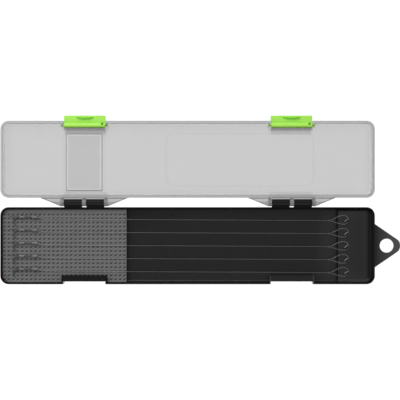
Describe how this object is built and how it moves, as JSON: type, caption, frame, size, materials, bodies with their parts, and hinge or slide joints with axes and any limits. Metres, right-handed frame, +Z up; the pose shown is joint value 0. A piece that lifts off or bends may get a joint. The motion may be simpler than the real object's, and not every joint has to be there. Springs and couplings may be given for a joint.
{
  "type": "fishing rig box",
  "caption": "Flat box with a black tray, a clear hinged lid and green latches; a foam pad and slanted pegs hold ready-tied fishing rigs stretched straight.",
  "frame": {"origin": "centre of the tray's underside, on the surface that it lies on", "axes": "+X along the box to the hang tab, +Y across the tray to the hinges and the opened lid, +Z up out of the tray"},
  "size_m": [0.3757, 0.158, 0.0173],
  "materials": {
    "tray_black": "satin",
    "lid_clear": "gloss",
    "latch_green": "satin",
    "pin_steel": "satin",
    "foam_grey": "matte",
    "hook_steel": "satin",
    "sleeve_clear": "satin",
    "tube_grey": "satin",
    "hair_braid": "matte",
    "line_grey": "satin"
  },
  "bodies": {
    "base": {"base_tray": "tray_black", "hinge_pin_left": "pin_steel", "hinge_pin_right": "pin_steel", "foam_pad": "foam_grey", "hook_1": "hook_steel", "hook_2": "hook_steel", "hook_3": "hook_steel", "hook_4": "hook_steel", "hook_5": "hook_steel", "hook_sleeve_1": "sleeve_clear", "hook_sleeve_2": "sleeve_clear", "hook_sleeve_3": "sleeve_clear", "hook_sleeve_4": "sleeve_clear", "hook_sleeve_5": "sleeve_clear", "eye_tube_1": "tube_grey", "eye_tube_2": "tube_grey", "eye_tube_3": "tube_grey", "eye_tube_4": "tube_grey", "eye_tube_5": "tube_grey", "hair_1": "hair_braid", "hair_2": "hair_braid", "hair_3": "hair_braid", "hair_4": "hair_braid", "hair_5": "hair_braid", "rig_line_1": "line_grey", "rig_line_2": "line_grey", "rig_line_3": "line_grey", "rig_line_4": "line_grey", "rig_line_5": "line_grey", "loop_knot_1": "line_grey", "loop_knot_2": "line_grey", "loop_knot_3": "line_grey", "loop_knot_4": "line_grey", "loop_knot_5": "line_grey"},
    "lid": {"lid_shell": "lid_clear"},
    "latch_left_body": {"latch_left": "latch_green"},
    "latch_right_body": {"latch_right": "latch_green"}
  },
  "joints": [
    {"name": "lid_hinge", "type": "hinge", "parent": "base", "child": "lid", "pos_m": [0, 0.0404, 0.01405], "axis": [1, 0, 0], "range_deg": [0, 180]},
    {"name": "latch_left_swing", "type": "hinge", "parent": "lid", "child": "latch_left_body", "pos_m": [-0.0966, 0.1127, 0.0108], "axis": [1, 0, 0], "range_deg": [0, 90]},
    {"name": "latch_right_swing", "type": "hinge", "parent": "lid", "child": "latch_right_body", "pos_m": [0.0974, 0.1127, 0.0108], "axis": [1, 0, 0], "range_deg": [0, 90]}
  ]
}
